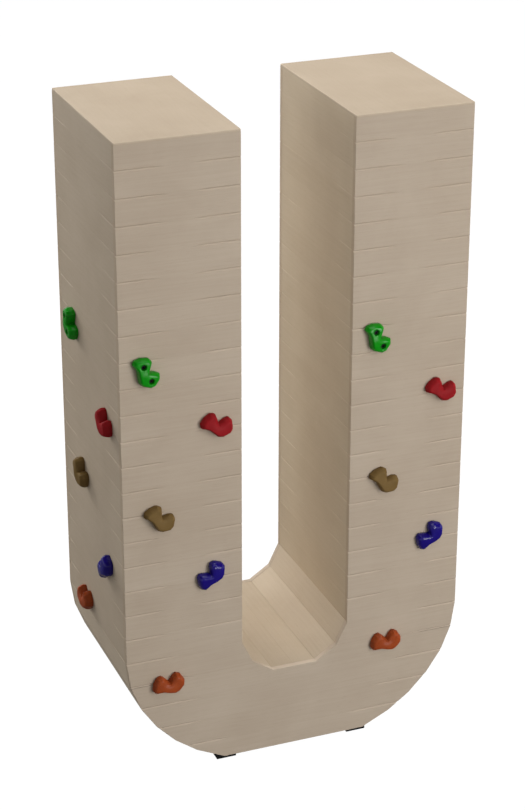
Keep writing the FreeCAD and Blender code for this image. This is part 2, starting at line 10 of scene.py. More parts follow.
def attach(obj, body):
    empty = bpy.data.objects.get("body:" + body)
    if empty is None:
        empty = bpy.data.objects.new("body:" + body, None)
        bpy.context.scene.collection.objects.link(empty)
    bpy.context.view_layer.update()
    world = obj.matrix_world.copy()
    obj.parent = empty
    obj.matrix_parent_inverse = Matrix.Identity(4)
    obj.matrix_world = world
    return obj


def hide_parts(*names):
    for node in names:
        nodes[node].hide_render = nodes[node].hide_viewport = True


# The looks of a free-standing, U-shaped climbing tower. Metres; +X right, +Y back, +Z up, the floor at z = 0.

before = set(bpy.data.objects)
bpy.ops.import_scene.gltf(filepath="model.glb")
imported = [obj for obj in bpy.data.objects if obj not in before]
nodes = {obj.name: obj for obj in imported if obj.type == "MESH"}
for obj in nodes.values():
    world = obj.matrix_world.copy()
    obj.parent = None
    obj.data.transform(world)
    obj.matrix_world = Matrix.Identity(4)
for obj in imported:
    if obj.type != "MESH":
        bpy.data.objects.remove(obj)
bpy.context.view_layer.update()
rng = random.Random(7)

# ---------------------------------------------------------------- sizes, as in the CAD

HALF_WIDTH = 0.647
HALF_DEPTH = 0.341
LEG = 0.441
LIFT = 0.024
PITCH = 0.09675
BOARD = 0.020
CAP = 0.009
TOP = LIFT + 2.400
CORNER = TOP - 20 * PITCH
SIDE = 2 * (HALF_DEPTH - BOARD)
OUTER_FACET = 0.102
OUTER_LEANS = (8.5, 21.5, 34, 44, 54)
LAST_LEAN = 64.5
INNER_FACET = 0.095
INNER_LEANS = (26, 56.5)

# ---------------------------------------------------------------- sizes of the finish

# an open V joint: how high up a board its undercut lower lip and its eased upper edge reach, and how deep
LIP_HIGH = 0.0038
LIP_DEEP = 0.0032
EASED_HIGH = 0.0052
EASED_DEEP = 0.0028
# how open a joint still is where it has closed up, as a share
CLOSED_JOINT = 0.02
# the eased edge at a board's ends and rims, and the gap between two boards
EDGE = 0.0013
GAP = 0.00006
# how far in from each end the joints stand open, on the legs' faces, on their sides and on the base
FACE_REACH = (0.095, 0.150)
SIDE_REACH = (0.060, 0.120)
BASE_REACH = (0.10, 0.22)
CLOSED_REACH = -1.0
# over how long the joints close up, on the legs, on the base and at the rims of the gap
LEG_FADE = 0.055
BASE_FADE = 0.08
RIM_FADE = 0.05
# how much of the full V the joints of each kind of wall have
INNER_SHARE = 0.35
OUTER_SHARE = 0.60
LOWEST_SHARE = 0.3
# how much stronger the painted highlight is on the front rim of the gap's floor than on any other edge
RIM_HIGHLIGHT = 1.7
# the caps' rounded edge, and how strong the painted highlight along it is
CAP_ROUND = 0.003
CAP_HIGHLIGHT = 0.8


# ---------------------------------------------------------------- materials

class Nodes:
    """A material's node tree, with short ways to add nodes and link them."""

    def __init__(self, name):
        self.material = bpy.data.materials.new(name)
        self.material.use_nodes = True
        self.tree = self.material.node_tree
        self.shader = self.tree.nodes["Principled BSDF"]

    def add(self, kind, settings=None, **inputs):
        node = self.tree.nodes.new(f"ShaderNode{kind}")
        for key, setting in (settings or {}).items():
            setattr(node, key, setting)
        for key, source in inputs.items():
            socket = node.inputs[int(key[1:])] if key[0] == "i" and key[1:].isdigit() else node.inputs[key]
            if isinstance(source, bpy.types.NodeSocket):
                self.tree.links.new(source, socket)
            else:
                socket.default_value = source
        return node

    def math(self, operation, a, b=0.0, c=0.0):
        return self.add("Math", {"operation": operation}, i0=a, i1=b, i2=c).outputs[0]

    def scaled(self, vector, scale):
        return self.add("VectorMath", {"operation": "MULTIPLY"}, i0=vector, i1=scale).outputs[0]

    def noise(self, vector, scale, detail=2.0, roughness=0.5, distortion=0.0):
        node = self.add("TexNoise", Vector=vector, Scale=scale, Detail=detail, Roughness=roughness,
                        Distortion=distortion)
        return node.outputs["Fac"]

    def spread(self, value, low, high, to_low=0.0, to_high=1.0):
        node = self.add("MapRange", {"interpolation_type": "SMOOTHSTEP"}, i0=value, i1=low, i2=high,
                        i3=to_low, i4=to_high)
        return node.outputs[0]

    def mix(self, factor, a, b, blend="MIX"):
        node = self.add("Mix", {"data_type": "RGBA", "blend_type": blend}, i0=factor, i6=a, i7=b)
        return node.outputs[2]

    def link(self, source, name):
        self.tree.links.new(source, self.shader.inputs[name])

    def bump(self, height, strength, distance):
        node = self.add("Bump", Strength=strength, Distance=distance, Height=height)
        self.link(node.outputs["Normal"], "Normal")

    def set(self, **inputs):
        for key, number in inputs.items():
            self.shader.inputs[key.replace("_", " ")].default_value = number


def colour(red, green, blue):
    return (red, green, blue, 1.0)


def wood(name, pale, dark, board_grain, figure=1.0, rough=0.56):
    """Clear-coated pale timber. Each board's own grain runs along the first number of its 'grain' attribute,
    and a highlight is painted onto its eased edges, paler where its edge-highlight attribute is above 0."""
    m = Nodes(name)
    if board_grain:
        place = m.add("Attribute", {"attribute_name": "grain"}).outputs["Vector"]
        tone = m.add("Attribute", {"attribute_name": "tone"}).outputs["Fac"]
    else:
        place = m.add("TexCoord").outputs["Object"]
        tone = 0.5
    fibres = m.noise(m.scaled(place, (3.0, 260.0, 260.0)), 1.0, 5.0, 0.62)
    streaks = m.noise(m.scaled(place, (1.3, 62.0, 40.0)), 1.0, 3.0, 0.55, 0.3)
    bent = m.noise(m.scaled(place, (1.7, 9.0, 3.0)), 1.0, 2.0, 0.5)
    across = m.add("SeparateXYZ", i0=place).outputs["Y"]
    rings = m.math("SINE", m.math("MULTIPLY_ADD", across, 330.0, m.math("MULTIPLY", bent, 26.0)))
    rings = m.spread(rings, -0.2, 1.0)
    patches = m.noise(m.scaled(place, (1.0, 2.2, 2.0)), 3.2, 2.0, 0.5)
    blotches = m.noise(m.add("TexCoord").outputs["Object"], 4.5, 3.0, 0.55, 0.4)
    light = m.math("MULTIPLY_ADD", fibres, 0.30, m.math("MULTIPLY", streaks, 0.13 * figure))
    light = m.math("MULTIPLY_ADD", rings, -0.03 * figure, light)
    light = m.math("MULTIPLY_ADD", patches, 0.22, light)
    light = m.math("MULTIPLY_ADD", blotches, 0.45, light)
    light = m.math("MULTIPLY_ADD", tone, 0.05, light)
    warm = m.mix(m.add("MapRange", i0=light, i1=0.30, i2=0.80).outputs[0], dark, pale)
    pores = m.noise(m.scaled(place, (22.0, 900.0, 900.0)), 1.0, 1.0, 0.5)
    pore = m.spread(pores, 0.66, 0.74, 0.0, 0.22 * figure)
    surface = m.mix(pore, warm, colour(dark[0] * 0.62, dark[1] * 0.58, dark[2] * 0.52))
    if board_grain:
        # painted highlight: the eased edges are mixed towards a paler colour where this attribute is above 0
        painted_edge_highlight = m.add("Attribute", {"attribute_name": "painted_edge_highlight"}).outputs["Fac"]
        painted_highlight_colour = colour(*[c * 1.28 for c in pale[:3]])
        surface = m.mix(m.math("MULTIPLY", painted_edge_highlight, 0.4), surface, painted_highlight_colour)
    m.link(surface, "Base Color")
    m.link(m.spread(fibres, 0.3, 0.7, rough - 0.05, rough + 0.09), "Roughness")
    m.bump(m.math("MULTIPLY_ADD", pores, 0.6, fibres), 0.16, 0.0006)
    m.set(IOR=1.45, Specular_IOR_Level=0.14)
    return m.material


def plywood(name):
    """Sanded plywood: a broad, faint rotary-cut figure."""
    m = Nodes(name)
    place = m.add("TexCoord").outputs["Object"]
    figure = m.noise(m.scaled(place, (2.0, 9.0, 9.0)), 2.2, 3.0, 0.6, 1.2)
    lines = m.add("TexWave", {"bands_direction": "Z"}, Vector=place, Scale=9.0, Distortion=6.0, Detail=2.0)
    fac = m.math("MULTIPLY_ADD", lines.outputs["Fac"], 0.35, m.math("MULTIPLY", figure, 0.65))
    m.link(m.mix(fac, colour(0.50, 0.37, 0.23), colour(0.66, 0.53, 0.37)), "Base Color")
    m.bump(m.noise(place, 420.0, 3.0), 0.15, 0.0005)
    m.set(Roughness=0.62)
    return m.material


def resin(name, base, dark, rough, shine, grit, speckle):
    """Moulded hold resin: a fine gritty skin, slightly uneven in colour."""
    m = Nodes(name)
    place = m.add("TexCoord").outputs["Object"]
    cloud = m.noise(place, 34.0, 3.0, 0.6)
    fine = m.noise(place, 780.0, 3.0, 0.65)
    skin = m.add("TexVoronoi", Vector=place, Scale=430.0).outputs["Distance"]
    fac = m.math("MULTIPLY_ADD", fine, 0.35, m.math("MULTIPLY", cloud, 0.65))
    made = m.mix(m.spread(fac, 0.28, 0.72), dark, base)
    if speckle:
        dots = m.spread(m.noise(place, 1500.0, 1.0, 0.4), 0.66, 0.74, 0.0, speckle)
        made = m.mix(dots, made, colour(*[0.5 + 0.5 * c for c in base[:3]]))
    m.link(made, "Base Color")
    m.link(m.spread(fine, 0.3, 0.7, rough - 0.04, rough + 0.06), "Roughness")
    m.bump(m.math("MULTIPLY_ADD", skin, 0.5, fine), grit, 0.0007)
    m.set(IOR=1.5, Specular_IOR_Level=shine)
    return m.material


def rubber(name):
    m = Nodes(name)
    place = m.add("TexCoord").outputs["Object"]
    fine = m.noise(place, 900.0, 3.0, 0.6)
    dust = m.noise(place, 60.0, 4.0, 0.6)
    dusty = m.spread(dust, 0.4, 0.8, 0.0, 0.5)
    m.link(m.mix(dusty, colour(0.003, 0.003, 0.003), colour(0.008, 0.008, 0.007)), "Base Color")
    m.link(m.spread(dust, 0.3, 0.7, 0.62, 0.82), "Roughness")
    m.bump(fine, 0.3, 0.0005)
    m.set(Specular_IOR_Level=0.2)
    return m.material


def metal(name, dark, pale):
    """Bolt steel, with the faint spangle of its plating."""
    m = Nodes(name)
    place = m.add("TexCoord").outputs["Object"]
    spangle = m.add("TexVoronoi", Vector=place, Scale=260.0).outputs["Distance"]
    brushed = m.noise(m.scaled(place, (40.0, 900.0, 900.0)), 1.0, 2.0)
    m.link(m.mix(m.spread(spangle, 0.1, 0.8), dark, pale), "Base Color")
    m.link(m.spread(brushed, 0.3, 0.7, 0.28, 0.46), "Roughness")
    m.bump(brushed, 0.12, 0.0003)
    m.set(Metallic=1.0)
    return m.material


def two_tones(red, green, blue):
    """A pale and a dark tone about one mean colour."""
    tones = []
    for sign in (1, -1):
        tones.append(colour(red * (1 + sign * 0.10), green * (1 + sign * 0.12), blue * (1 + sign * 0.14)))
    return tones


board_wood = wood("board_wood", *two_tones(0.450, 0.368, 0.284), True)
# painted light: a slightly warmer copy of the board wood, tinted for how light falls on the outer sides
side_wood_painted_tint = wood("side_board_wood_painted_tint", *two_tones(0.450, 0.368, 0.276), True)
# painted light: a paler, warmer copy of the board wood, standing in for light bounced between the legs onto
# the inner walls
inner_wood_painted_bounce = wood("inner_board_wood_painted_bounce", *two_tones(0.495, 0.405, 0.293), True)
# painted light: a paler copy of the board wood, so that the down-facing outer bends look as bright as the
# sides
stave_wood_painted_light = wood("stave_wood_painted_light", *two_tones(0.530, 0.440, 0.332), True)
end_wood = wood("board_end_wood", *two_tones(0.450, 0.360, 0.265), True, 0.5, 0.6)
cap_wood = wood("cap_wood", *two_tones(0.450, 0.365, 0.272), True, 0.6)
# painted light: a paler copy of the board wood for the gap's floor, making it look more brightly lit
floor_wood_painted_light = wood("floor_wood_painted_light", *two_tones(0.472, 0.386, 0.286), True, 0.8)
frame_wood = wood("frame_wood", *two_tones(0.50, 0.37, 0.23), False)
ply = plywood("plywood_sheet")
black_rubber = rubber("black_rubber")
zinc_steel = metal("zinc_steel", colour(0.34, 0.34, 0.36), colour(0.56, 0.56, 0.58))
# nearly black steel for the bolts in the front recesses
near_black_steel = metal("near_black_bolt_steel", colour(0.010, 0.010, 0.011), colour(0.022, 0.021, 0.021))
# pale and dark tone, roughness, shine, grit and speckle of each colour
RESIN_LOOKS = {
    "green": ((0.003, 0.265, 0.004), (0.002, 0.215, 0.003), 0.25, 0.24, 0.12, 0.0),
    "red": ((0.285, 0.010, 0.013), (0.240, 0.008, 0.011), 0.50, 0.08, 0.25, 0.0),
    "brown": ((0.180, 0.112, 0.038), (0.145, 0.088, 0.030), 0.55, 0.08, 0.25, 0.0),
    "blue": ((0.009, 0.003, 0.165), (0.007, 0.002, 0.135), 0.20, 0.30, 0.06, 0.0),
    "orange": ((0.325, 0.060, 0.013), (0.265, 0.046, 0.011), 0.36, 0.12, 0.20, 0.10),
}
RESINS = {}
for resin_name, (pale_tone, dark_tone, *finish) in RESIN_LOOKS.items():
    RESINS[resin_name] = resin(f"{resin_name}_resin", colour(*pale_tone), colour(*dark_tone), *finish)


# ---------------------------------------------------------------- boards

def smooth(t):
    t = min(1.0, max(0.0, t))
    return t * t * (3 - 2 * t)


def joint_openness(u, length, reach, soft):
    """1 where a V joint stands open, near both ends of a wall, down to CLOSED_JOINT in its middle."""
    left = smooth((reach[0] + soft - u) / soft)
    right = smooth((reach[1] + soft - (length - u)) / soft)
    return CLOSED_JOINT + (1 - CLOSED_JOINT) * max(left, right)


def new_mesh():
    bm = bmesh.new()
    bm.verts.layers.float_vector.new("grain")
    bm.verts.layers.float.new("tone")
    bm.verts.layers.float.new("painted_edge_highlight")
    return bm


def add_board(bm, grid, place, present=None, thick=BOARD, mitre=(0.0, 0.0)):
    """A closed board with a flat back. Its material is the first, and the second at the two ends of its rows.

    grid holds the rows of its face, from low to high, of (along, across, depth). present(i, j) says which
    cells of the grid it has. mitre is how much further up its low and high edge stand at the back.
    """
    grain = bm.verts.layers.float_vector["grain"]
    tone = bm.verts.layers.float["tone"]
    painted_edge_highlight = bm.verts.layers.float["painted_edge_highlight"]
    board_tone = rng.random()
    shift = rng.uniform(1.0, 60.0)
    slide = rng.uniform(0.0, 20.0)
    low = grid[0][0][1]
    high = grid[-1][0][1]
    cells = [(i, j) for i in range(len(grid) - 1) for j in range(len(grid[0]) - 1)]
    cells = [c for c in cells if present is None or present(*c)]
    rings = [((i, j), (i, j + 1), (i + 1, j + 1), (i + 1, j)) for i, j in cells]
    front = {}
    back = {}
    for key in sorted({key for ring in rings for key in ring}):
        u, z, depth = grid[key[0]][key[1]]
        share = (z - low) / (high - low)
        back_z = z + mitre[0] * (1 - share) + mitre[1] * share
        for side, spot in ((front, (u, depth, z)), (back, (u, thick, back_z))):
            vert = bm.verts.new(place @ Vector(spot))
            vert[grain] = Vector((u + slide, z, spot[1] + shift))
            vert[tone] = board_tone
            # a painted highlight along the front of each board's eased top edge, as strong as that edge is
            # deep
            vert[painted_edge_highlight] = min(1.0, spot[1] / EASED_DEEP) if side is front and key[0] == len(grid) - 1 else 0.0
            side[key] = vert
    for ring in rings:
        bm.faces.new([front[k] for k in ring])
        bm.faces.new([back[k] for k in reversed(ring)])
    edges = {(ring[n], ring[(n + 1) % 4]) for ring in rings for n in range(4)}
    last = len(grid[0]) - 1
    for p, q in sorted(edges):
        if (q, p) not in edges:
            rim = bm.faces.new((front[p], back[p], back[q], front[q]))
            rim.material_index = int(p[1] == q[1] and p[1] in (0, last))


def finish_mesh(bm, name, materials, cad_nodes):
    """Turns the mesh into a piece that rides on the tower and stands for its CAD nodes."""
    bmesh.ops.recalc_face_normals(bm, faces=bm.faces)
    mesh = bpy.data.meshes.new(name)
    bm.to_mesh(mesh)
    bm.free()
    for material in materials:
        mesh.materials.append(material)
    piece = bpy.data.objects.new(name, mesh)
    bpy.context.scene.collection.objects.link(piece)
    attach(piece, "root")
    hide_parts(*cad_nodes)
    return piece


def stations(start, end, step):
    """Evenly spaced places, with one close to each end for the bevelled edge."""
    count = max(2, round((end - start) / step))
    inner = [start + (end - start) * k / count for k in range(1, count)]
    return [start, start + EDGE, *inner, end - EDGE, end]


def wall_place(turn, x, y):
    return Matrix.Translation((x, y, 0)) @ Matrix.Rotation(math.radians(turn), 4, "Z")


INNER_X = HALF_WIDTH - LEG
SIDE_Y = HALF_DEPTH - BOARD
# turn, x and y of the wall's left end seen from outside, length, and how far in its joints stand open
WALLS = {
    "front_left": (0, -HALF_WIDTH, -HALF_DEPTH, LEG, FACE_REACH),
    "front_right": (0, INNER_X, -HALF_DEPTH, LEG, FACE_REACH),
    "back_right": (180, HALF_WIDTH, HALF_DEPTH, LEG, FACE_REACH),
    "back_left": (180, -INNER_X, HALF_DEPTH, LEG, FACE_REACH),
    "left_outer": (-90, -HALF_WIDTH, SIDE_Y, SIDE, SIDE_REACH),
    "right_outer": (90, HALF_WIDTH, -SIDE_Y, SIDE, SIDE_REACH),
    "left_inner": (90, -INNER_X, -SIDE_Y, SIDE, SIDE_REACH),
    "right_inner": (-90, INNER_X, SIDE_Y, SIDE, SIDE_REACH),
}


def leg_row(low, high, length, reaches, share=1.0):
    """The face of one board between two joints. reaches gives the lower and the upper joint's open ends.

    The lower edge is undercut, so that the joint shows as a thin dark line, and the upper edge is eased.
    """
    us = stations(0, length, 0.024)
    rows = []
    for joint, side, step in ((low, 0, 0), (low, 0, 1), (high, 1, -1), (high, 1, 0)):
        row = []
        for u in us:
            openness = share * joint_openness(u, length, reaches[side], LEG_FADE)
            at_end = EDGE if u in (us[0], us[-1]) else 0.0
            high_by, deep = (EASED_HIGH, EASED_DEEP) if side else (LIP_HIGH, LIP_DEEP)
            z = joint + (GAP / 2 if side == 0 else -GAP / 2) + step * high_by * openness
            depth = at_end if step else max(at_end, deep * openness)
            row.append((u, z, depth))
        rows.append(row)
    return rows


def joint_reaches(count, reach):
    return [(rng.uniform(*reach), rng.uniform(*reach)) for _ in range(count)]


# the lowest joint of each leg carries on along the top of the base, so the two share their open ends
BASE_REACHES = {"front": joint_reaches(6, BASE_REACH), "back": joint_reaches(6, BASE_REACH)}
for wall, (turn, x, y, length, reach) in WALLS.items():
    boards = new_mesh()
    place = wall_place(turn, x, y)
    reaches = joint_reaches(20, reach) + [(CLOSED_REACH, CLOSED_REACH)]
    if wall in ("front_left", "back_right"):
        reaches[0] = (BASE_REACHES[wall.split("_")[0]][0][0], CLOSED_REACH)
    elif wall in ("front_right", "back_left"):
        reaches[0] = (CLOSED_REACH, BASE_REACHES[wall.split("_")[0]][0][1])
    for k in range(20):
        low = CORNER + k * PITCH
        high = TOP - CAP if k == 19 else low + PITCH
        share = INNER_SHARE if wall.endswith("inner") else OUTER_SHARE if wall.endswith("outer") else 1.0
        add_board(boards, leg_row(low, high, length, (reaches[k], reaches[k + 1]), share), place)
    face_wood = inner_wood_painted_bounce if wall.endswith("inner") else side_wood_painted_tint if wall.endswith("outer") else board_wood
    finish_mesh(boards, f"{wall}_cladding", [face_wood, end_wood], [f"{wall}_boards"])


# ---------------------------------------------------------------- base boards

def bend(start_x, facet, leans):
    """The corners (from the tower's left edge, height) of a bend that starts at CORNER."""
    corners = [(start_x, CORNER)]
    for lean in leans:
        x, z = corners[-1]
        corners.append((x + facet * math.sin(math.radians(lean)), z - facet * math.cos(math.radians(lean))))
    return corners


OUTER = bend(0.0, OUTER_FACET, OUTER_LEANS)
last_x, last_z = OUTER[-1]
OUTER.append((last_x + (last_z - LIFT) * math.tan(math.radians(LAST_LEAN)), LIFT))
INNER = bend(LEG, INNER_FACET, INNER_LEANS)
GAP_FLOOR = INNER[-1][1]
WIDTH = 2 * HALF_WIDTH


def bend_x(corners, z):
    """Where a bend is at a height."""
    for (x0, z0), (x1, z1) in zip(corners, corners[1:]):
        if z1 <= z <= z0:
            return x0 + (x1 - x0) * (z0 - z) / (z0 - z1)
    return corners[0][0] if z > corners[0][1] else corners[-1][0]


def base_columns(z):
    """The places along a base board at one height: left block, middle under the gap, right block."""
    start, end = bend_x(OUTER, z), bend_x(INNER, max(z, GAP_FLOOR))
    left = stations(start, end, (end - start) / 20)
    count = 6
    middle_width = WIDTH - 2 * left[-1]
    middle = [left[-1] + middle_width * k / count for k in range(1, count)]
    right = [WIDTH - u for u in reversed(left)]
    return left, middle, right


def base_row(low, high, reaches, open_low):
    """One base board's face, and which of its cells are there: none in the gap between the legs."""
    corner_heights = [z for _, z in OUTER + INNER]
    between = sorted({z for z in corner_heights if low + 0.004 < z < high - 0.004})
    if low + 0.004 < GAP_FLOOR < high:
        between = sorted(set(between) | {GAP_FLOOR, GAP_FLOOR - EDGE})
    heights = [(low, 0, True), (low + LIP_HIGH, 0, False)]
    heights += [(z, None, False) for z in between]
    heights += [(high - EASED_HIGH, 1, False), (high, 1, True)]
    rows = []
    for z, side, on_joint in heights:
        left, middle, right = base_columns(z)
        row = []
        us = left + middle + right
        first_rim, last_rim = len(left) - 1, len(left) + len(middle)
        rims = {0, len(us) - 1}
        if z > GAP_FLOOR - EDGE / 2:
            rims |= {first_rim, last_rim}
        for j, u in enumerate(us):
            depth = EDGE if j in rims else 0.0
            height = z
            if side is not None:
                is_open = open_low or side == 1
                openness = LOWEST_SHARE
                if is_open:
                    openness = joint_openness(u - us[0], us[-1] - us[0], reaches[side], BASE_FADE)
                if z > GAP_FLOOR:
                    from_rim = min(abs(u - us[first_rim]), abs(u - us[last_rim]))
                    openness *= smooth(from_rim / RIM_FADE)
                joint = low if side == 0 else high
                sign = 1 if side == 0 else -1
                mouth, deep = (LIP_HIGH, LIP_DEEP) if side == 0 else (EASED_HIGH, EASED_DEEP)
                height = joint + sign * (GAP / 2 if on_joint else max(GAP, mouth * openness))
                if on_joint:
                    depth = max(depth, deep * openness)
            if abs(z - GAP_FLOOR) < 1e-6 and first_rim <= j <= last_rim:
                depth = max(depth, EDGE)
            u = sum(base_columns(height), [])[j]
            row.append((u, height, depth))
        rows.append(row)
    first_middle = len(base_columns(low)[0]) - 1
    last_middle = first_middle + len(base_columns(low)[1])

    def present(i, j):
        return heights[i][0] < GAP_FLOOR - 1e-6 or not first_middle <= j <= last_middle

    return rows, present


BASE_PLACES = {
    "front": wall_place(0, -HALF_WIDTH, -HALF_DEPTH),
    "back": wall_place(180, HALF_WIDTH, HALF_DEPTH),
}
for end, place in BASE_PLACES.items():
    boards = new_mesh()
    reaches = BASE_REACHES[end]
    for k in range(5):
        high = CORNER - k * PITCH
        low = max(LIFT, high - PITCH)
        rows, present = base_row(low, high, (reaches[k + 1], reaches[k]), k < 4)
        add_board(boards, rows, place, present)
    if end == "front":
        # a stronger painted highlight along the front rim of the gap's floor
        painted_edge_highlight = boards.verts.layers.float["painted_edge_highlight"]
        for vert in boards.verts:
            if abs(vert.co.z - GAP_FLOOR) < 1e-5 and abs(vert.co.x) < HALF_WIDTH - INNER[-1][0] + 1e-4:
                vert[painted_edge_highlight] = RIM_HIGHLIGHT
    finish_mesh(boards, f"{end}_base_cladding", [board_wood, end_wood], [f"{end}_base_boards"])


# ---------------------------------------------------------------- staves round the bends

def stave_grid(length, across, mouth):
    """A stave's face, with its two long edges chamfered by mouth."""
    us = stations(0, length, 0.08)
    edge = 0.9 * mouth
    rows = []
    for z, chamfer in ((GAP / 2, edge), (mouth, 0.0), (across - mouth, 0.0), (across - GAP / 2, edge)):
        rows.append([(u, z, max(EDGE if u in (us[0], us[-1]) else 0.0, chamfer)) for u in us])
    return rows


def stave_place(high_corner, low_corner, inward_x):
    """A stave's frame, with its length along Y, across it from the low corner up and inward, and its width."""
    high = Vector((high_corner[0] - HALF_WIDTH, 0, high_corner[1]))
    low = Vector((low_corner[0] - HALF_WIDTH, 0, low_corner[1]))
    up = (high - low).normalized()
    inward = Vector((up.z, 0, -up.x)) * inward_x
    along = inward.cross(up)
    start = low - along * SIDE_Y
    turn = Matrix((along, inward, up)).transposed().to_4x4()
    return Matrix.Translation(start) @ turn, (high - low).length


def half_turn(before, after):
    return BOARD * math.tan(math.radians(after - before) / 2)


def add_staves(bm, corners, leans, inward_x, mouth, turned_round):
    """The staves of one bend, or of the same bend turned half round the tower's middle."""
    around = Matrix.Rotation(math.pi, 4, "Z") if turned_round else Matrix.Identity(4)
    for k in range(len(corners) - 1):
        place, across = stave_place(corners[k], corners[k + 1], inward_x)
        above = half_turn(leans[k], leans[k + 1]) * inward_x
        below = half_turn(leans[k + 1], leans[k + 2]) * inward_x
        add_board(bm, stave_grid(SIDE, across, mouth), around @ place, mitre=(below, -above))


# the chamfer along the staves' edges
OUTER_MOUTH = 0.0016
INNER_MOUTH = 0.0004
for side, turned_round in (("left", False), ("right", True)):
    staves = new_mesh()
    add_staves(staves, OUTER, (0, *OUTER_LEANS, LAST_LEAN, 90), 1, OUTER_MOUTH, turned_round)
    finish_mesh(staves, f"{side}_outer_stave_set", [stave_wood_painted_light, end_wood], [f"{side}_outer_staves"])

staves = new_mesh()
floor_corners = INNER + [(HALF_WIDTH, GAP_FLOOR)]
for turned_round in (False, True):
    add_staves(staves, floor_corners, (0, *INNER_LEANS, 90, 90), -1, INNER_MOUTH, turned_round)
finish_mesh(staves, "inner_stave_set", [floor_wood_painted_light, end_wood], ["inner_staves"])


# ---------------------------------------------------------------- caps

def cap(side, centre_x):
    """A thin lid over a leg, with softly rounded edges. Its grain runs from front to back."""
    bm = new_mesh()
    corners = ((-1, -1), (1, -1), (1, 1), (-1, 1))
    rings = []
    for z in (TOP - CAP, TOP):
        rings.append([bm.verts.new((centre_x + x * LEG / 2, y * HALF_DEPTH, z)) for x, y in corners])
    bm.faces.new(rings[0][::-1])
    bm.faces.new(rings[1])
    for k in range(4):
        bm.faces.new((rings[0][k], rings[0][(k + 1) % 4], rings[1][(k + 1) % 4], rings[1][k]))
    upper = [edge for edge in bm.edges if max(vert.co.z for vert in edge.verts) > TOP - CAP / 2]
    bmesh.ops.bevel(bm, geom=upper, offset=CAP_ROUND, segments=3, profile=0.5, affect="EDGES")
    grain = bm.verts.layers.float_vector["grain"]
    tone = bm.verts.layers.float["tone"]
    painted_edge_highlight = bm.verts.layers.float["painted_edge_highlight"]
    shift = rng.uniform(1.0, 60.0)
    for vert in bm.verts:
        vert[grain] = Vector((vert.co.y + shift, vert.co.x, vert.co.z))
        vert[tone] = 0.5
        # a painted highlight along the caps' rounded top edge
        vert[painted_edge_highlight] = CAP_HIGHLIGHT if TOP - CAP_ROUND - 0.0005 < vert.co.z < TOP - 0.0001 else 0.0
    return finish_mesh(bm, f"{side}_top_lid", [cap_wood], [f"{side}_top_cap"])


cap("left", LEG / 2 - HALF_WIDTH)
cap("right", HALF_WIDTH - LEG / 2)


# ---------------------------------------------------------------- holds

HOLD_LENGTH = 0.124
HOLD_WIDTH = 0.082
HOLD_TALL = 0.036
LOBE_X = 0.235 * HOLD_LENGTH
SPINE_SAG = -0.15 * HOLD_WIDTH
BOLT_X = 0.030
SEAT = 0.014
RECESS = 0.010
# notch up, as shares of the length and the width
HOLD_OUTLINE = (
    (-0.49, -0.20), (-0.46, 0.08), (-0.34, 0.38), (-0.21, 0.44),
    (-0.10, 0.30), (0.02, 0.09), (0.13, 0.36), (0.23, 0.48),
    (0.36, 0.40), (0.49, 0.08), (0.48, -0.15), (0.29, -0.44),
    (0.16, -0.49), (0.00, -0.40), (-0.17, -0.32), (-0.42, -0.36),
)
# how much of each side the three rounds of corner cutting take
CORNER_CUTS = (0.055, 0.14, 0.22)
# (share of the outline, rise) up the undercut side, from the wall to the shoulder
UNDERCUT = [(0.94, 0.0), (0.975, 0.15), (1.0, 0.30)]
# spacing of the points over a hold's face, the clear rim round a recess, and the eased edge at its mouth
FACE_SPACING = 0.004
RECESS_CLEAR = 0.003
RECESS_EASE = 0.0008
RECESS_DROP = 0.0009
# degrees anticlockwise, seen from outside
HOLD_TURNS = {"green": -64, "red": -25, "brown": -42, "blue": 40, "orange": 1}
# the crown's share of the outline, how full the shoulder bulges, how far the face dips at the notch, and how
# many times the shoulder is smoothed
HOLD_SHAPES = {
    "green": (0.62, 1.15, 0.005, 0),
    "red": (0.62, 1.20, 0.012, 1),
    "brown": (0.62, 1.20, 0.009, 1),
    "blue": (0.45, 0.95, 0.002, 14),
    "orange": (0.60, 1.10, 0.012, 2),
}
# where each hold's middle is: along the wall from the tower's edge, and up from the underside of the base
FACE_HOLDS = {
    "green": (0.092, 1.589),
    "red": (0.346, 1.354),
    "brown": (0.132, 1.031),
    "blue": (0.318, 0.773),
    "orange": (0.153, 0.364),
}
SIDE_HOLDS = {
    "green": (0.177, 1.589),
    "red": (0.538, 1.356),
    "brown": (0.243, 1.036),
    "blue": (0.504, 0.775),
    "orange": (0.242, 0.521),
}


def cut_corners(points, share):
    """One pass that cuts every corner of a closed outline."""
    made = []
    for (x0, y0), (x1, y1) in zip(points, points[1:] + points[:1]):
        made.append((x0 + (x1 - x0) * share, y0 + (y1 - y0) * share))
        made.append((x1 + (x0 - x1) * share, y1 + (y0 - y1) * share))
    return made


def hold_rim():
    points = [(x * HOLD_LENGTH, y * HOLD_WIDTH) for x, y in reversed(HOLD_OUTLINE)]
    for share in CORNER_CUTS:
        points = cut_corners(points, share)
    return points


def drawn_in(points, share):
    """The outline drawn in towards the spine, which joins the two lobes' centres and sags between them."""
    made = []
    for x, y in points:
        middle = max(-LOBE_X, min(LOBE_X, x))
        sag = SPINE_SAG * (1 - (middle / LOBE_X) ** 2)
        made.append((middle + share * (x - middle), sag + share * (y - sag)))
    return made


def face_height(x, y, dip):
    """How far a hold's face stands out. The lobes lean away from its middle, and it dips at the notch."""
    ridge = math.sqrt(x * x + 0.005 ** 2) - 0.005
    near_notch = math.exp(-(x * x + (y - 0.018) ** 2) / (2 * 0.013 ** 2))
    return HOLD_TALL - 0.09 * ridge - 0.5 * x * x - 0.9 * y * y - dip * near_notch


def hold_profile(crown, bulge):
    """(share of the outline, rise) from the wall up: the undercut side, then a shoulder in to the crown."""
    made = list(UNDERCUT)
    start = UNDERCUT[-1][1]
    for k in range(1, 11):
        angle = math.radians(9 * k)
        share = crown + (1 - crown) * math.cos(angle) ** bulge
        made.append((share, start + (1 - start) * math.sin(angle) ** bulge))
    return made


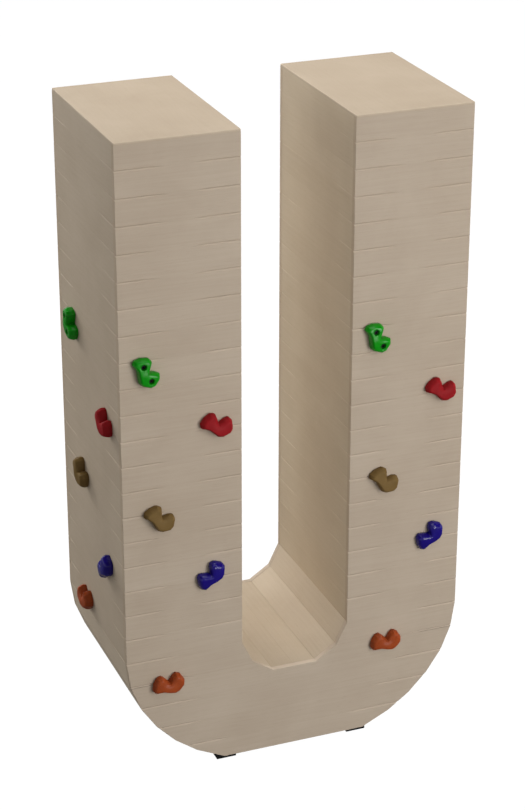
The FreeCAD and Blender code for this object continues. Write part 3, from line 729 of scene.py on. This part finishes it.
def hold_mesh(bolted_from_front, crown, bulge, dip, smoothing):
    bm = bmesh.new()
    rim = hold_rim()
    count = len(rim)
    profile = hold_profile(crown, bulge)
    rings = []
    for share, rise in profile:
        ring = []
        for x, y in drawn_in(rim, share):
            ring.append(bm.verts.new((x, y, face_height(x, y, dip) * rise)))
        rings.append(ring)
    bm.faces.new(rings[0][::-1])
    for low, high in zip(rings, rings[1:]):
        for k in range(count):
            bm.faces.new((low[k], low[(k + 1) % count], high[(k + 1) % count], high[k]))
    inner = [(v.co.x, v.co.y) for v in rings[-1]]
    spots = list(inner)
    edges = [(k, (k + 1) % count) for k in range(count)]
    holes = []
    if bolted_from_front:
        for centre in (-BOLT_X, BOLT_X):
            first = len(spots)
            mouth = RECESS + RECESS_EASE
            for k in range(32):
                angle = math.tau * k / 32
                spots.append((centre + mouth * math.cos(angle), mouth * math.sin(angle)))
            edges += [(first + k, first + (k + 1) % 32) for k in range(32)]
            holes.append((centre, first))
    fine = drawn_in(rim, crown - 0.05)
    for i in range(-16, 17):
        for j in range(-11, 12):
            spot = (i * FACE_SPACING + (j % 2) * FACE_SPACING / 2, j * FACE_SPACING * 0.866)
            clear = all(math.hypot(spot[0] - centre, spot[1]) > RECESS + RECESS_CLEAR for centre, _ in holes)
            if clear and inside(spot, fine):
                spots.append(spot)
    made = delaunay_2d_cdt([Vector(s) for s in spots], edges, [], 1, 1e-7)
    verts = []
    for n, spot in enumerate(made[0]):
        source = made[3][n]
        if source and source[0] < count:
            verts.append(rings[-1][source[0]])
        else:
            verts.append(bm.verts.new((spot.x, spot.y, face_height(spot.x, spot.y, dip))))
    for triangle in made[2]:
        centre = sum((verts[k].co for k in triangle), Vector()) / 3
        if all(math.hypot(centre.x - c, centre.y) > RECESS + RECESS_EASE / 2 for c, _ in holes):
            bm.faces.new([verts[k] for k in triangle])
    where = {source[0]: n for n, source in enumerate(made[3]) if source}
    for centre, first in holes:
        ring = [verts[where[first + k]] for k in range(32)]
        for radius, height in ((RECESS, None), (RECESS, SEAT)):
            lower = []
            for vert in ring:
                angle = math.atan2(vert.co.y, vert.co.x - centre)
                z = vert.co.z - RECESS_DROP if height is None else height
                lower.append(bm.verts.new((centre + radius * math.cos(angle), radius * math.sin(angle), z)))
            for k in range(32):
                bm.faces.new((ring[k], ring[(k + 1) % 32], lower[(k + 1) % 32], lower[k]))
            ring = lower
        bm.faces.new(ring)
    above = [vert for vert in bm.verts if vert.co.z > 0.3 * HOLD_TALL]
    for _ in range(smoothing):
        bmesh.ops.smooth_vert(bm, verts=above, factor=0.5, use_axis_x=True, use_axis_y=True, use_axis_z=True)
    bmesh.ops.recalc_face_normals(bm, faces=bm.faces)
    return bm


def inside(spot, outline):
    """Whether a spot lies within a closed outline."""
    found = False
    for (x0, y0), (x1, y1) in zip(outline, outline[1:] + outline[:1]):
        if (y0 > spot[1]) != (y1 > spot[1]) and spot[0] < x0 + (spot[1] - y0) * (x1 - x0) / (y1 - y0):
            found = not found
    return found


# from the hold's own frame (along, across, out) to a wall's frame (along, depth, up)
OUT_OF_WALL = Matrix(((1, 0, 0, 0), (0, 0, -1, 0), (0, 1, 0, 0), (0, 0, 0, 1)))


def add_hold(wall, hold_colour, spot):
    turn, x, y, _, _ = WALLS[wall]
    along, up = spot
    spin = Matrix.Rotation(math.radians(HOLD_TURNS[hold_colour]), 4, "Z")
    place = wall_place(turn, x, y) @ Matrix.Translation((along, 0, up + LIFT)) @ OUT_OF_WALL @ spin
    bm = hold_mesh(hold_colour == "green", *HOLD_SHAPES[hold_colour])
    bmesh.ops.transform(bm, matrix=place, verts=bm.verts)
    name = f"{wall}_{hold_colour}_grip"
    cad_node = f"{wall}_{hold_colour}_hold"
    piece = finish_mesh(bm, name, [RESINS[hold_colour]], [cad_node])
    piece.data.shade_smooth()
    piece.data.set_sharp_from_angle(angle=math.radians(38))
    return piece


for wall in WALLS:
    if not wall.endswith("inner"):
        on_side = wall.endswith("outer")
        for hold_colour, (along, up) in (SIDE_HOLDS if on_side else FACE_HOLDS).items():
            add_hold(wall, hold_colour, (along - (BOARD if on_side else 0), up))


# ---------------------------------------------------------------- CAD nodes that stay

FOOT_ROUND = 0.0016
KEPT = {
    ply: ("face_panels", "side_panels", "base_rib", "bottom_panel"),
    frame_wood: ("leg_posts", "leg_rails", "face_battens"),
    zinc_steel: ("hold_rear_bolts", "hold_t_nuts", "foot_screws"),
    near_black_steel: ("hold_front_bolts",),
    black_rubber: ("front_left_foot", "front_right_foot", "back_left_foot", "back_right_foot"),
}
for material, names in KEPT.items():
    for name in names:
        nodes[name].data.materials.clear()
        nodes[name].data.materials.append(material)
        if material == black_rubber:
            rounding = nodes[name].modifiers.new("rounded_edges", "BEVEL")
            rounding.width = FOOT_ROUND
            rounding.segments = 3
            rounding.limit_method = "ANGLE"
            rounding.angle_limit = math.radians(50)


# ---------------------------------------------------------------- floor, light and camera

FLOOR_HALF = 80.0
FLOOR_GLOW = 1.0
# how bright the room is at the horizon, overhead and below
HORIZON = 0.90
SKY = 0.08
GROUND = 0.14
# where most lights point
MIDDLE = (0, 0, 1.2)
LOW_MIDDLE = (0, 0, 0.8)


def stage_floor():
    bm = bmesh.new()
    corners = ((-1, -1), (1, -1), (1, 1), (-1, 1))
    bm.faces.new([bm.verts.new((x * FLOOR_HALF, y * FLOOR_HALF, 0)) for x, y in corners])
    mesh = bpy.data.meshes.new("studio_floor")
    bm.to_mesh(mesh)
    bm.free()
    m = Nodes("studio_floor")
    m.set(Base_Color=colour(0.03, 0.03, 0.03), Roughness=0.9, Specular_IOR_Level=0.0)
    m.set(Emission_Color=colour(1, 1, 1), Emission_Strength=FLOOR_GLOW)
    mesh.materials.append(m.material)
    piece = bpy.data.objects.new("studio_floor", mesh)
    piece.visible_diffuse = False
    piece.visible_glossy = False
    piece.visible_shadow = False
    bpy.context.scene.collection.objects.link(piece)


def area_light(name, place, target, width, height, power, mirrored=True):
    """A lamp that points at target. One that isn't mirrored makes no highlights."""
    data = bpy.data.lights.new(name, "AREA")
    data.shape = "RECTANGLE"
    data.size = width
    data.size_y = height
    data.energy = power
    light = bpy.data.objects.new(name, data)
    light.visible_camera = False
    light.visible_glossy = mirrored
    light.location = place
    light.rotation_mode = "QUATERNION"
    light.rotation_quaternion = (Vector(target) - Vector(place)).to_track_quat("-Z", "Y")
    bpy.context.scene.collection.objects.link(light)


def studio_world():
    """A pale room: bright at the level of the floor's far edge, dim overhead and below."""
    world = bpy.data.worlds.new("studio")
    world.use_nodes = True
    tree = world.node_tree
    direction = tree.nodes.new("ShaderNodeTexCoord")
    height = tree.nodes.new("ShaderNodeSeparateXYZ")
    bands = tree.nodes.new("ShaderNodeValToRGB")
    for place, level in ((0.42, GROUND), (0.48, HORIZON), (0.58, HORIZON), (0.64, SKY)):
        stop = bands.color_ramp.elements.new(place)
        stop.color = colour(level, level, level)
    for end in (0, -1):
        bands.color_ramp.elements.remove(bands.color_ramp.elements[end])
    centred = tree.nodes.new("ShaderNodeMath")
    centred.operation = "MULTIPLY_ADD"
    centred.inputs[1].default_value = 0.5
    centred.inputs[2].default_value = 0.5
    tree.links.new(direction.outputs["Generated"], height.inputs[0])
    tree.links.new(height.outputs["Z"], centred.inputs[0])
    tree.links.new(centred.outputs[0], bands.inputs[0])
    tree.links.new(bands.outputs[0], tree.nodes["Background"].inputs["Color"])
    bpy.context.scene.world = world


stage_floor()
studio_world()
area_light("overhead", (0.2, 0.3, 6.5), MIDDLE, 3.0, 3.0, 169)
area_light("key", (3.84, -7.54, 4.28), MIDDLE, 2.6, 2.6, 182)
area_light("high_front", (0.2, -4.4, 6.8), MIDDLE, 2.6, 2.6, 60)
area_light("front", (2.4, -6.2, 1.0), LOW_MIDDLE, 2.4, 1.2, 150)
area_light("right_fill", (6.0, 0.5, 2.5), MIDDLE, 3.0, 3.0, 240, False)
area_light("back_fill", (-1.2, 5.4, 3.2), MIDDLE, 4.0, 3.0, 390, False)
area_light("back_low", (-0.8, 5.2, 1.2), LOW_MIDDLE, 3.0, 2.0, 32, False)
area_light("left_fill", (-5.0, 3.8, 2.2), MIDDLE, 3.0, 3.0, 80, False)

camera = bpy.data.objects.new("camera", bpy.data.cameras.new("camera"))
camera.data.sensor_width = 36.0
camera.data.lens = 101.594
camera.data.clip_end = 200.0
camera.location = (-2.780, -7.069, 4.650)
camera.rotation_euler = [math.radians(angle) for angle in (65.931, -0.078, -21.471)]
bpy.context.scene.collection.objects.link(camera)
bpy.context.scene.camera = camera
bpy.context.scene.view_settings.view_transform = "Standard"
